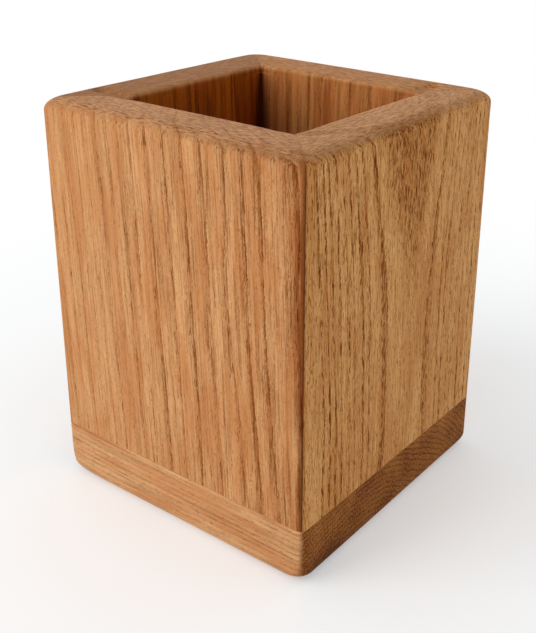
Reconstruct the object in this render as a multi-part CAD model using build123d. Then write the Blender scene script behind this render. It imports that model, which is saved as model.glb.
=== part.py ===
from build123d import *
import math
import os

# A square wooden pen holder: four upright boards with mitred corners, glued into a tube,
# which stands on a flat board glued under their lower ends. All outer edges and both edges
# of the rim are rounded after gluing, so each rounded edge runs through the joints.
# Millimetres, +Z up, origin at the middle of the underside, front board at -Y.

# Outside of the holder
width = 80.0
depth = 80.0
height = 104.0

# Thickness of the upright boards, of the board under them and of the glue in the joints
wall_thickness = 15.0
base_thickness = 15.5
glue_thickness = 0.1

# Rounded edges: the upright corners, both edges of the rim, and the lower edge
corner_radius = 3.0
rim_radius = 3.2
mouth_radius = 2.5
foot_radius = 3.5

# How far a cutting shape reaches past the wood that it cuts
cut_margin = 1.0

# Worked out from the sizes above
wall_bottom = base_thickness + glue_thickness
well_width = width - 2 * wall_thickness
well_depth = depth - 2 * wall_thickness
well_height = height - base_thickness
# Half of the glue in a mitre, measured along the side of the holder
mitre_gap = glue_thickness / math.sqrt(2)


def edges_at_height(shape, level, x_reach, y_reach):
    """The level edges of a shape at one height, within a distance of the middle."""
    return [
        edge for edge in shape.edges()
        if abs(edge.bounding_box().min.Z - level) < 0.001
        and abs(edge.bounding_box().max.Z - level) < 0.001
        and abs(edge.center().X) < x_reach
        and abs(edge.center().Y) < y_reach
    ]


def rounded_blank():
    """The glued-up holder as one rounded block with its well, before it is cut into boards."""
    block = Box(width, depth, height, align=(Align.CENTER, Align.CENTER, Align.MIN))
    block = fillet(edges_at_height(block, height, width, depth), rim_radius)
    block = fillet(edges_at_height(block, 0, width, depth), foot_radius)
    block = fillet(block.edges().filter_by(Axis.Z), corner_radius)
    well = Pos(0, 0, base_thickness) * Box(
        well_width, well_depth, well_height + cut_margin, align=(Align.CENTER, Align.CENTER, Align.MIN)
    )
    block -= well
    mouth_edges = edges_at_height(block, height, well_width / 2 + 0.001, well_depth / 2 + 0.001)
    return fillet(mouth_edges, mouth_radius)


def upright(corners):
    """A straight-sided block over a plan outline, from the top of the glue to above the rim."""
    outline = Polygon(*corners, align=None)
    return Pos(0, 0, wall_bottom) * extrude(outline, height + cut_margin - wall_bottom, dir=(0, 0, 1))


def mitred_zone(half_length, outer_face):
    """The space of one board, lying along X with its outer face at -Y, between its mitres."""
    inner = wall_thickness + cut_margin
    outer_half = half_length + cut_margin - mitre_gap
    inner_half = half_length - inner - mitre_gap
    return upright([
        (-outer_half, outer_face - cut_margin),
        (outer_half, outer_face - cut_margin),
        (inner_half, outer_face + inner),
        (-inner_half, outer_face + inner),
    ])


def mitre_zone(side_x, side_y):
    """The thin space of the glue in the mitre at one corner of the holder."""
    corner_x = side_x * (width / 2 + cut_margin)
    corner_y = side_y * (depth / 2 + cut_margin)
    reach = wall_thickness + 2 * cut_margin
    inner_x = corner_x - side_x * reach
    inner_y = corner_y - side_y * reach
    return upright([
        (corner_x - side_x * mitre_gap, corner_y),
        (corner_x, corner_y - side_y * mitre_gap),
        (inner_x, inner_y - side_y * mitre_gap),
        (inner_x - side_x * mitre_gap, inner_y),
    ])


def level_zone(low, high):
    """A flat slab that is wider than the holder, between two heights."""
    slab = Box(
        width + 2 * cut_margin, depth + 2 * cut_margin, high - low,
        align=(Align.CENTER, Align.CENTER, Align.MIN),
    )
    return Pos(0, 0, low) * slab


def main():
    """Cuts the rounded blank into its boards and glue lines and writes one file for each."""
    blank = rounded_blank()
    long_board = mitred_zone(width / 2, -depth / 2)
    side_board = mitred_zone(depth / 2, -width / 2)
    zones = {
        "base_board": level_zone(-cut_margin, base_thickness),
        "wall_front": long_board,
        "wall_right": Rot(0, 0, 90) * side_board,
        "wall_back": Rot(0, 0, 180) * long_board,
        "wall_left": Rot(0, 0, 270) * side_board,
        "base_glue": level_zone(base_thickness, wall_bottom),
        "mitre_glue_front_right": mitre_zone(1, -1),
        "mitre_glue_back_right": mitre_zone(1, 1),
        "mitre_glue_back_left": mitre_zone(-1, 1),
        "mitre_glue_front_left": mitre_zone(-1, -1),
    }
    os.makedirs("parts", exist_ok=True)
    for name, zone in zones.items():
        piece = blank & zone
        piece.label = name
        export_step(piece, "parts/" + name + ".step")
        print(name, len(piece.solids()), round(piece.volume, 2))


main()
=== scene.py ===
"""Square oak pen holder: five glued boards, remade as worn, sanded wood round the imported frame."""
import logging
import math
from dataclasses import dataclass
from enum import Enum
from typing import Optional, Union

import bpy
import numpy as np
from mathutils import Matrix, Vector


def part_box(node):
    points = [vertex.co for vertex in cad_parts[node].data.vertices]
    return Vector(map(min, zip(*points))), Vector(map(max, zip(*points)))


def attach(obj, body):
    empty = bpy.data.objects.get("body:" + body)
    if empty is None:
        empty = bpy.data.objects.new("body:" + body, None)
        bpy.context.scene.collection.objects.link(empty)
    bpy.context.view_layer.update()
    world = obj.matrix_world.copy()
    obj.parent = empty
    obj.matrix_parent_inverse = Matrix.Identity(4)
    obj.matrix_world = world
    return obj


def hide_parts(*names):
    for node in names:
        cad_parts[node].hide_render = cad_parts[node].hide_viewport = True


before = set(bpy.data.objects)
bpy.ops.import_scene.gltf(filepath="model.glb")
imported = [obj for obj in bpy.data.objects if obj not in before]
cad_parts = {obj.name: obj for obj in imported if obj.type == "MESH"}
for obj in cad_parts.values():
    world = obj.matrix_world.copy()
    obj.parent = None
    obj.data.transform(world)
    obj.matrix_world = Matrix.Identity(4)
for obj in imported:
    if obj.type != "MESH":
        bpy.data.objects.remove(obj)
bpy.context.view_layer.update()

log = logging.getLogger("pen_holder")

MM = 0.001
BODY = "root"
# Half of the holder's width in millimetres, where a board's own directions u and w end
HALF = 40.0
# Steps of each grid along the straight part of a side, and round each half corner
FLAT_COLUMNS = 104
ARC_COLUMNS = 10
# Faces that meet at more than this angle, in degrees, show a crease
CREASE = 40

Tree = bpy.types.NodeTree
Node = bpy.types.Node
Source = Union[bpy.types.Node, bpy.types.NodeSocket]


class Side(Enum):
    """The side of the holder that a board closes.

    The value is how many quarter turns, seen from above and against the clock, bring the front board there.
    """

    FRONT = 0
    RIGHT = 1
    BACK = 2
    LEFT = 3


def srgb(code: str) -> tuple[float, float, float, float]:
    """Turns an sRGB hex colour into the linear colour that a shader socket takes.

    Args:
        code: six hex digits, such as "c8965f".

    Returns:
        Linear red, green, blue and an alpha of 1.
    """
    parts = [int(code[i:i + 2], 16) / 255 for i in (0, 2, 4)]
    linear = [p / 12.92 if p <= 0.04045 else ((p + 0.055) / 1.055) ** 2.4 for p in parts]
    return (*linear, 1.0)


def add_node(
    tree: Tree, kind: str, inputs: Optional[dict[object, object]] = None, **settings: object
) -> Node:
    """Adds one shader node, sets its properties, and sets or links its inputs.

    Args:
        tree: the node tree that takes the node.
        kind: the node's Blender type name after "ShaderNode".
        inputs: socket names or numbers, each with a value, with the socket to link, or with a node whose
            first output in use is linked.
        settings: the node's properties.

    Returns:
        The new node.
    """
    node = tree.nodes.new("ShaderNode" + kind)
    for name, value in settings.items():
        setattr(node, name, value)
    for key, value in (inputs or {}).items():
        if isinstance(value, Node):
            value = next(output for output in value.outputs if output.enabled)
        if isinstance(value, bpy.types.NodeSocket):
            tree.links.new(value, node.inputs[key])
        else:
            node.inputs[key].default_value = value
    return node


def new_material(name: str) -> bpy.types.Material:
    """Makes a material with an empty node tree.

    Args:
        name: the material's name.

    Returns:
        The material.
    """
    material = bpy.data.materials.new(name)
    material.use_nodes = True
    material.node_tree.nodes.clear()
    return material


def seen_directly(tree: Tree) -> Node:
    """Finds the rays that the camera sees by, also by way of a mirror or glass.

    Args:
        tree: the node tree that takes the nodes.

    Returns:
        The node that gives 1 on such rays and 0 on rays that only gather light.
    """
    ray = add_node(tree, "LightPath")
    seen = ray.outputs["Is Camera Ray"]
    for kind in ("Is Glossy Ray", "Is Transmission Ray"):
        seen = add_node(tree, "Math", {0: seen, 1: ray.outputs[kind]}, operation="MAXIMUM")
    return seen


def layered(tree: Tree, colour: object, layers: tuple[tuple[Source, str, str], ...]) -> Node:
    """Lays colours over one another.

    Args:
        tree: the node tree that takes the nodes.
        colour: the lowest colour, or the node that gives it.
        layers: for each further one its share from 0 to 1, its sRGB hex colour and its blend type.

    Returns:
        The node that gives the result.
    """
    for share, code, blend in layers:
        colour = add_node(tree, "Mix", {
            0: share, 6: colour, 7: srgb(code),
        }, data_type="RGBA", blend_type=blend)
    return colour


def turn_quarters(x: np.ndarray, y: np.ndarray, turns: int) -> tuple[np.ndarray, np.ndarray]:
    """Turns plan points about the holder's axis: each quarter turn takes (x, y) to (-y, x).

    Args:
        x: places along X.
        y: the same along Y.
        turns: quarter turns against the clock, or with it where they are negative.

    Returns:
        The x and y of the turned points.
    """
    for _ in range(turns % 4):
        x, y = -y, x
    return x, y


def grid_faces(rows: int, columns: int, wrap_rows: bool, wrap_columns: bool) -> np.ndarray:
    """Joins the points of a grid into four-sided faces.

    Point r, c has the number r * columns + c. The face of r, c joins it to its neighbours at r + 1 and
    c + 1, and a wrapped direction also joins its last line to its first.

    Args:
        rows: lines of points.
        columns: points in each line.
        wrap_rows: whether the last line meets the first.
        wrap_columns: whether each line closes on itself.

    Returns:
        An array of faces with four point numbers each.
    """
    r = np.arange(rows if wrap_rows else rows - 1)[:, None]
    c = np.arange(columns if wrap_columns else columns - 1)[None, :]
    r_next = (r + 1) % rows
    c_next = (c + 1) % columns
    corners = [r * columns + c, r * columns + c_next, r_next * columns + c_next, r_next * columns + c]
    return np.stack([np.broadcast_to(k, (r.shape[0], c.shape[1])) for k in corners], axis=-1).reshape(-1, 4)


def carried_faces(count: int, columns: int) -> list[list[int]]:
    """Faces of a closed section of an even number of points, carried over columns and closed at both ends.

    The section starts at the middle of its lower end. To close an end, the outline's two halves are paired
    point by point, and each face spans from one half to the other.

    Args:
        count: points of the section.
        columns: how many times the section is repeated, from one end to the other.

    Returns:
        Lists of four point numbers, where point r of column c has the number r * columns + c.
    """
    first = np.arange(count // 2)
    second = count - 1 - first
    end = np.stack([first[:-1], first[1:], second[1:], second[:-1]], axis=-1) * columns
    side = grid_faces(count, columns, True, False)
    return np.concatenate([side, end, end[:, ::-1] + columns - 1]).tolist()


def side_columns() -> tuple[np.ndarray, np.ndarray]:
    """Spreads a grid's columns along one side, from one mitre to the other.

    Returns:
        The columns' places on the straight part, from -1 to 1, and round the two half corners, also from -1
        to 1, with 0 on the straight part.
    """
    arc = np.linspace(0, 1, ARC_COLUMNS + 1)[1:]
    flat = np.linspace(-1, 1, FLAT_COLUMNS + 1)
    ends = np.ones(ARC_COLUMNS)
    return np.concatenate([-ends, flat, ends]), np.concatenate([-arc[::-1], np.zeros_like(flat), arc])


def stack_rows(names: tuple[str, ...], pieces: list[tuple[object, ...]]) -> dict[str, np.ndarray]:
    """Joins runs of profile rows, where each run gives an array or one number under each name.

    Args:
        names: what the values of a run stand for, in order. The first is always an array.
        pieces: the runs.

    Returns:
        Under each name an array with one number per row.
    """
    rows: dict[str, list[np.ndarray]] = {name: [] for name in names}
    for piece in pieces:
        for name, value in zip(names, piece):
            rows[name].append(np.broadcast_to(np.asarray(value, float), piece[0].shape))
    return {name: np.concatenate(runs) for name, runs in rows.items()}


def smooth_step(value: np.ndarray, low: float, high: float) -> np.ndarray:
    """Rises from 0 at the low value to 1 at the high one, level at both ends."""
    share = np.clip((value - low) / (high - low), 0, 1)
    return share * share * (3 - 2 * share)


def mesh_object(name: str, points: np.ndarray, faces: list[list[int]]) -> bpy.types.Object:
    """Makes an object and its mesh, both of one name, and puts it in the scene.

    Args:
        name: the name.
        points: x, y and z in metres along the last axis.
        faces: lists of point numbers, going round against the clock from outside.

    Returns:
        The object, at the origin.
    """
    mesh = bpy.data.meshes.new(name)
    mesh.from_pydata(points.reshape(-1, 3).tolist(), [], faces)
    made = bpy.data.objects.new(name, mesh)
    bpy.context.scene.collection.objects.link(made)
    return made


def make_piece(
    name: str,
    points: np.ndarray,
    faces: list[list[int]],
    attributes: dict[str, np.ndarray],
    material: bpy.types.Material,
    stands_for: tuple[str, ...],
) -> bpy.types.Object:
    """Makes a piece from points in millimetres and puts it in the place of CAD nodes.

    Args:
        name: the piece's name.
        points: x, y and z in millimetres along the last axis.
        faces: lists of point numbers, going round against the clock from outside.
        attributes: one number per point under each name, which the material reads.
        material: the finish.
        stands_for: the CAD nodes that the piece replaces.

    Returns:
        The object, at the origin, riding on the holder's body.
    """
    piece = mesh_object(name, points * MM, faces)
    mesh = piece.data
    for label, values in attributes.items():
        layer = mesh.attributes.new(label, "FLOAT", "POINT")
        layer.data.foreach_set("value", values.astype(np.float32).ravel())
    mesh.polygons.foreach_set("use_smooth", np.ones(len(mesh.polygons), dtype=bool))
    mesh.set_sharp_from_angle(angle=math.radians(CREASE))
    mesh.materials.append(material)
    mesh.update()
    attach(piece, BODY)
    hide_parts(*stands_for)
    log.info("%s: %d points, %d faces, stands for %s", name, len(mesh.vertices), len(faces), stands_for)
    return piece


@dataclass(frozen=True)
class SandedShape:
    """The outside of the glued-up holder in millimetres, and how the sanding rounded it.

    Attributes:
        width: the side of the square plan.
        height: from the underside to the rim.
        wall: thickness of the upright boards.
        base_top: height of the base board's upper face.
        wall_bottom: height of the lower ends of the upright boards.
        mitre_gap: half of the glue in a mitre, measured along the side.
        corner_radius: rounding of the upright corners.
        rim_radius: rounding of the rim's outer edge.
        mouth_radius: rounding of the rim's inner edge.
        foot_radius: rounding of the lower edge.
        rim_growth: how fast the corner radius grows as the rim's rounding goes in.
        foot_growth: the same at the foot, whose corners were sanded nearly to balls.
        face_loss: the most that sanding took off the faces.
        edge_loss: how much more it took off the rounded edges.
        corner_loss: how much more it took off them near the upright corners.
        corner_reach: how far from those corners that goes.
        left_loss: how much more it took off the lowest ends of the two corners on the left.
        low_reach: how high up those corners that goes.
        near_spare: how much less it took off the lower half of the near corner.
        mouth_loss: the most that it took off the mouth along the front and right boards.
        mouth_reach: how far from the mouth's edge that goes.
        mouth_spare: how much less it took off the mouth along the other two.
        turn_loss: how much more it took off the mouth's corners, where the paper was turned.
        turn_reach: how far from those corners that goes.
    """

    width: float
    height: float
    wall: float
    base_top: float
    wall_bottom: float
    mitre_gap: float = 0.1 / math.sqrt(2)
    corner_radius: float = 3.0
    rim_radius: float = 3.2
    mouth_radius: float = 2.5
    foot_radius: float = 3.5
    rim_growth: float = 0.3
    foot_growth: float = 2.0
    face_loss: float = 0.05
    edge_loss: float = 0.1
    corner_loss: float = 0.06
    corner_reach: float = 5.0
    left_loss: float = 0.8
    low_reach: float = 9.0
    near_spare: float = 0.34
    mouth_loss: float = 1.0
    mouth_reach: float = 1.8
    mouth_spare: float = 0.62
    turn_loss: float = 0.35
    turn_reach: float = 4.0

    @classmethod
    def from_frame(cls) -> "SandedShape":
        """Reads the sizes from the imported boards, so the wood always fits its CAD solids.

        Returns:
            The shape in millimetres.
        """
        base_low, base_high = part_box("base_board")
        wall_low, wall_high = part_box("wall_front")
        return cls(
            width=round((base_high.x - base_low.x) / MM, 3),
            height=round(wall_high.z / MM, 3),
            wall=round((wall_high.y - wall_low.y) / MM, 3),
            base_top=round(base_high.z / MM, 3),
            wall_bottom=round(wall_low.z / MM, 3),
        )

    def hand_unevenness(self, x: np.ndarray, y: np.ndarray, z: np.ndarray) -> np.ndarray:
        """How deep the sanding went, as waves across the whole block.

        Nine plane waves with lengths from 17 to 60 mm run in different directions. Their sum is moved and
        scaled to lie between 0 and 1.

        Args:
            x: places in millimetres.
            y: the same along Y.
            z: the same along Z.

        Returns:
            A number from 0 to 1 at each place.
        """
        draw = np.random.default_rng(12)
        total = np.zeros_like(x)
        weight_sum = 0.0
        for length in np.linspace(17.0, 60.0, 9):
            direction = draw.normal(size=3)
            direction /= np.linalg.norm(direction)
            shift = draw.uniform(0, 2 * math.pi)
            weight = math.sqrt(length)
            along = (x * direction[0] + y * direction[1] + z * direction[2]) / length
            total = total + weight * np.sin(2 * math.pi * along + shift)
            weight_sum += weight
        return 0.5 + 0.5 * total / weight_sum

    def sanded_away(
        self, x: np.ndarray, y: np.ndarray, z: np.ndarray, edge: np.ndarray, mouth: np.ndarray
    ) -> np.ndarray:
        """How far the sanded surface lies under the exact one.

        Faces, rounded edges, the mouth and some corners each lose their own share, as the fields say. The
        mouth's edge is spared where the front and right boards meet. Nothing reaches past the exact sides.

        Args:
            x: places on the exact surface in millimetres.
            y: the same along Y.
            z: the same along Z.
            edge: 1 on rounded edges and 0 on flat faces.
            mouth: 1 round the mouth and 0 elsewhere.

        Returns:
            Depths in millimetres.
        """
        half = self.width / 2
        inner = half - self.wall
        from_corner = np.hypot(np.abs(x) - half + 2.0, np.abs(y) - half + 2.0)
        from_mouth_corner = np.hypot(np.abs(x) - inner - 0.5, np.abs(y) - inner - 0.5)
        loss = self.hand_unevenness(x, y, z) * (self.face_loss + self.edge_loss * edge)
        low = np.clip((self.low_reach - z) / self.low_reach, 0, 1) ** 2 * (0.5 - x / (2 * half))
        at_corner = np.exp(-((from_corner / self.corner_reach) ** 2))
        loss = loss + (self.corner_loss * edge + self.left_loss * low) * at_corner
        near = np.exp(-(((x - half + 0.9) ** 2 + (y + half - 0.9) ** 2) / 1.6))
        loss = loss - self.near_spare * near * smooth_step(z, 3.0, 8.0) * smooth_step(z, 60.0, 25.0)
        loss = np.maximum(loss, np.maximum(np.abs(x), np.abs(y)) - half)
        beyond = np.maximum(x, -y) - inner
        spared = np.exp(-(((x - inner) ** 2 + (y + inner) ** 2) / 9.0))
        at_mouth = np.exp(-((beyond / self.mouth_reach) ** 2))
        loss = loss + self.mouth_loss * mouth * edge * at_mouth * (1 - 0.9 * spared)
        far = np.maximum(-x, y) - inner
        across = np.clip(1 - far / self.mouth_radius, 0, 1) * smooth_step(far, -2.0, 0.0)
        down = np.clip(1 - (self.height - z) / self.mouth_radius, 0, 1)
        loss = loss - self.mouth_spare * mouth * (2 * across * down) ** 3.5 * smooth_step(beyond, 1.5, -1.0)
        at_turn = np.exp(-((from_mouth_corner / self.turn_reach) ** 2))
        return loss + self.turn_loss * mouth * at_turn * (1 - spared)

    def side_outline(
        self, depth: np.ndarray, radius: np.ndarray, flat: np.ndarray, arc: np.ndarray, gap: float
    ) -> tuple[np.ndarray, np.ndarray]:
        """Plan points along one side of a rounded square, from one diagonal to the other.

        The square's half side is the holder's half width less the depth. On the straight part a point lies
        at flat times its half length. On the corner's arc it lies at arc times the angle between the end of
        the straight part and the place where the arc comes within the gap of the diagonal.

        Args:
            depth: how far each point lies inside the outer face.
            radius: the corner radius there.
            flat: -1 to 1 along the straight part.
            arc: -1 to 1, 0 on the straight part and 1 at the end of the arc.
            gap: how far short of the diagonal the outline ends, measured along the side.

        Returns:
            The x and y of each point, with the side lying along X and facing -Y.
        """
        radius = np.maximum(radius, gap + 0.02)
        straight = self.width / 2 - depth - radius
        reach = np.arccos(np.clip(gap / (radius * math.sqrt(2)), -1, 1)) - math.pi / 4
        angle = arc * reach
        x = straight * flat + radius * np.sin(angle)
        y = -(straight + radius * np.cos(angle))
        return x, y

    def carried(
        self, rows: dict[str, np.ndarray], columns: tuple[np.ndarray, np.ndarray], turns: int, gap: float,
        recess: float = 0.0,
    ) -> np.ndarray:
        """Carries profile rows along one side of the holder and sands them.

        Each point of the exact surface goes inwards, square to its profile, by what the sanding took off
        there. The sanding is worked out at the point's place on the whole block, so pieces that meet at a
        joint stay flush.

        Args:
            rows: a column of numbers under each name: depth, height, the corner radius, and where they
                aren't 0, out_depth and out_height for the way out of the surface, edge and mouth.
            columns: the flat and arc numbers of the grid's columns.
            turns: quarter turns from the front to the side.
            gap: how far short of the diagonal the outline ends, measured along the side.
            recess: how much further in the surface lies, in millimetres.

        Returns:
            Points in millimetres as an array of rows by columns by 3.
        """
        names = ("depth", "height", "radius", "out_depth", "out_height", "edge", "mouth")
        depth, height, radius, out_depth, out_height, edge, mouth = (rows.get(name, 0.0) for name in names)
        x, y = self.side_outline(depth, radius, *columns, gap)
        z = np.broadcast_to(height, x.shape)
        loss = recess + self.sanded_away(*turn_quarters(x, y, turns), z, edge, mouth)
        x, y = self.side_outline(depth - loss * out_depth, radius, *columns, gap)
        z = height - loss * np.maximum(out_height, 0)
        return np.stack([*turn_quarters(x, y, turns), z], axis=-1)


@dataclass(frozen=True)
class RingPattern:
    """Where a board lay in its log, in millimetres and in the board's own directions.

    The board's own directions are u along its face and v from its outer face towards the inside, both
    counted from the holder's axis, and w along the grain.

    Attributes:
        pith: u and v of the middle of the log at w = 0.
        lean: how far the middle of the log moves in u and v over 100 mm of grain.
        edges: radii at which a year's growth starts. Beyond them the years are even.
        reach: the smallest and largest radius in the board.
        even_width: the width of the even years.
        slow_sway: how far long waves in the grain move a ring.
        quick_sway: how far short waves move it.
        slow_starts: radii, each with the share of the year that had grown there, in slowly begun years.
        bow: how the grain bends towards the face, in millimetres per squared millimetre of grain.
        bow_height: the height at which the bend is level.
    """

    pith: tuple[float, float]
    lean: tuple[float, float]
    edges: tuple[float, ...]
    reach: tuple[float, float]
    even_width: float = 2.8
    slow_sway: float = 0.5
    quick_sway: float = 0.2
    slow_starts: tuple[tuple[float, float], ...] = ()
    bow: float = 0.0
    bow_height: float = 35.0

    def all_edges(self) -> list[float]:
        """Adds even years on both sides of the known ones, out to the reach of the board.

        Returns:
            The radii at which a year starts, from the smallest to the largest.
        """
        edges = list(self.edges)
        while edges[0] > self.reach[0]:
            edges.insert(0, edges[0] - self.even_width)
        while edges[-1] < self.reach[1]:
            edges.append(edges[-1] + self.even_width)
        return edges


@dataclass(frozen=True)
class Streaks:
    """One size of fibre bundle, drawn as dark streaks along the grain, or scratches where across is longer.

    Attributes:
        across: the streaks' width in millimetres.
        along: their length.
        low: the noise value at which a streak begins to show.
        high: the value at which it is at its darkest.
        amount: how much it then adds to the tone.
    """

    across: float
    along: float
    low: float
    high: float
    amount: float


@dataclass(frozen=True)
class OiledOak:
    """European oak, planed, sanded by hand and oiled.

    The oil gives the eye a warm, matt wood: smooth tan late wood, belts of open pores at the start of each
    year that show as dark dashes along the grain, fine fibre streaks, and a darker, duller cut across the
    ends.

    Attributes:
        name: the material's name.
        turn: angles in degrees that bring the board's grain to Z and its outer face to -Y.
        rings: where the board lay in its log.
        late: colour of the smooth late wood.
        early: colour of the fibres between the pores.
        pore: colour inside the pores.
        warm: the redder colour that drifts over the board in patches.
        deep: what the oil multiplies the colour by where it gathered, in streaks and pores.
        soaked: what it multiplies it by along a joint, where the open end grain drank it.
        end_light: colour of the late wood where it is cut across.
        end_dark: colour of the pore belts where they are cut across.
        end_years: how clearly the years show where they are cut across.
        end_speckle: how clearly single fibres do.
        end_spots: the size of such a spot in millimetres along u, v and w.
        end_patches: how clearly oily patches do.
        end_pores: how clearly the pores do.
        end_oiled: how far the oil pulls the late wood towards the pore belts at the end w = 40.
        seam_and_shade: colour of glue-soaked wood, and of the painted shade low on the base board's sides.
        inside: what the colour is multiplied by inside the well, for the deeper oil there and as painted
            shade.
        shade_and_grime: what dust and oil in the well's corners multiply it by.
        outside_tone: the share of the streaks that shows outside the well.
        belt: the share of a year that the pore belt takes.
        belt_full: the share of the belt that stays full before it thins out.
        belt_tone: how much darker the fibres of the belt are.
        outer: radii between which the narrow outer years of the log take over.
        outer_belt: the share of their tone that the belts keep there.
        inner_fine: the share of the fine pores that the wood inside them has.
        line: how strongly a year's first row of pores shows as a dark line.
        pore_depth: how deep the pores look, in millimetres.
        pore_width: spacing of the large pores across the grain in millimetres.
        pore_length: their spacing along the grain.
        pore_open: how open they are, from 0 to about 0.6.
        pore_sides: how much of the pores shows at the board's two sides, u = -40 and u = 40.
        fine_open: how open the fine pores of the late wood are.
        fine_width: their spacing across the grain in millimetres.
        fine_length: their spacing along the grain.
        fine_depth: how dark they are, where the large pores have 1.
        streaks: the fibre bundles.
        ragged: how far the fibres wander from side to side in millimetres.
        roughness: of smooth wood and of the wood in a pore.
        seed: moves the noise, so that no two boards look alike.
    """

    name: str
    turn: tuple[float, float, float]
    rings: RingPattern
    late: str = "e2a66a"
    early: str = "965b2c"
    pore: str = "733a10"
    warm: str = "cb7d45"
    deep: str = "ffffff"
    soaked: str = "b8966c"
    end_light: str = "c48c55"
    end_dark: str = "84491d"
    end_years: float = 0.12
    end_speckle: float = 0.48
    end_spots: tuple[float, float, float] = (2.0, 0.3, 0.6)
    end_patches: float = 0.2
    end_pores: float = 0.15
    end_oiled: float = 0.0
    seam_and_shade: str = "542508"
    inside: str = "d8b07c"
    shade_and_grime: str = "572a1c"
    outside_tone: float = 1.0
    belt: float = 0.5
    belt_full: float = 0.0
    belt_tone: float = 0.35
    outer: tuple[float, float] = (38.5, 41.0)
    outer_belt: float = 1.0
    inner_fine: float = 1.0
    line: float = 0.5
    pore_depth: float = 0.12
    pore_width: float = 0.4
    pore_length: float = 9.0
    pore_open: float = 0.5
    pore_sides: tuple[float, float] = (1.0, 1.0)
    fine_open: float = 0.2
    fine_width: float = 0.3
    fine_length: float = 2.4
    fine_depth: float = 0.6
    streaks: tuple[Streaks, ...] = (
        Streaks(0.22, 1.4, 0.38, 0.7, 0.3),
        Streaks(0.32, 8.0, 0.46, 0.68, 0.45),
        Streaks(1.2, 30.0, 0.44, 0.7, 0.25),
        Streaks(5.0, 70.0, 0.4, 0.68, 0.2),
    )
    ragged: float = 0.35
    roughness: tuple[float, float] = (0.58, 0.85)
    seed: float = 0.0

    def grain_space(self, tree: Tree) -> tuple[Node, Node]:
        """Turns object coordinates into millimetres in the board's own directions.

        Args:
            tree: the material's node tree.

        Returns:
            Grain space, with the grain along Z and the middle of the log at X = Y = 0, and the same
            coordinates before they were leaned along the grain.
        """
        rings = self.rings
        place = add_node(tree, "TexCoord")
        turned = add_node(tree, "Mapping", {
            "Vector": place.outputs["Object"],
            "Rotation": tuple(math.radians(a) for a in self.turn),
            "Scale": (1 / MM, 1 / MM, 1 / MM),
            "Location": (-rings.pith[0], -rings.pith[1], 0.0),
        })
        along = add_node(tree, "SeparateXYZ", {0: turned}).outputs[2]
        rise = add_node(tree, "Math", {0: along, 1: rings.bow_height}, operation="SUBTRACT")
        square = add_node(tree, "Math", {0: rise, 1: rise}, operation="MULTIPLY")
        lean_u, lean_v = (
            add_node(tree, "Math", {0: along, 1: -lean / 100}, operation="MULTIPLY") for lean in rings.lean
        )
        bent_v = add_node(tree, "Math", {0: square, 1: rings.bow, 2: lean_v}, operation="MULTIPLY_ADD")
        shift = add_node(tree, "CombineXYZ", {0: lean_u, 1: bent_v})
        leaned = add_node(tree, "VectorMath", {0: turned, 1: shift}, operation="ADD")
        # The fibres wander by about 0.1 mm over each millimetre, which makes every line ragged.
        wander = self.clouds(tree, leaned, 0.9, 0.9, 63.0).outputs["Color"]
        ragged = add_node(tree, "VectorMath", {
            0: wander, 1: (self.ragged, self.ragged, 0.0), 2: leaned,
        }, operation="MULTIPLY_ADD")
        return ragged, turned

    def stretched(self, tree: Tree, space: Node, across: float, along: float, shift: float) -> Node:
        """Scales grain space so that one unit is a spot of a given size.

        Args:
            tree: the material's node tree.
            space: grain space in millimetres.
            across: the spot's size across the grain in millimetres.
            along: its size along the grain.
            shift: moves the pattern, so that two patterns of one size differ.

        Returns:
            The scaled and moved coordinates.
        """
        return add_node(tree, "VectorMath", {
            0: space,
            1: (1 / across, 1 / across, 1 / along),
            2: (self.seed + shift, self.seed * 0.7 - shift, self.seed * 1.3 + shift),
        }, operation="MULTIPLY_ADD")

    def clouds(
        self, tree: Tree, space: Node, across: float, along: float, shift: float, detail: float = 2.0
    ) -> Node:
        """Soft noise in stretched grain space, whose arguments it takes, with a number of finer layers."""
        place = self.stretched(tree, space, across, along, shift)
        return add_node(tree, "TexNoise", {"Vector": place, "Scale": 1.0, "Detail": detail})

    def streak(self, tree: Tree, space: Node, bundle: Streaks, shift: float, detail: float = 2.0) -> Node:
        """Draws one kind of streaks: 0 between them, and up to their amount in their middles."""
        noise = self.clouds(tree, space, bundle.across, bundle.along, shift, detail)
        return add_node(tree, "MapRange", {
            "Value": noise, "From Min": bundle.low, "From Max": bundle.high, "To Max": bundle.amount,
        }, interpolation_type="SMOOTHSTEP")

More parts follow.
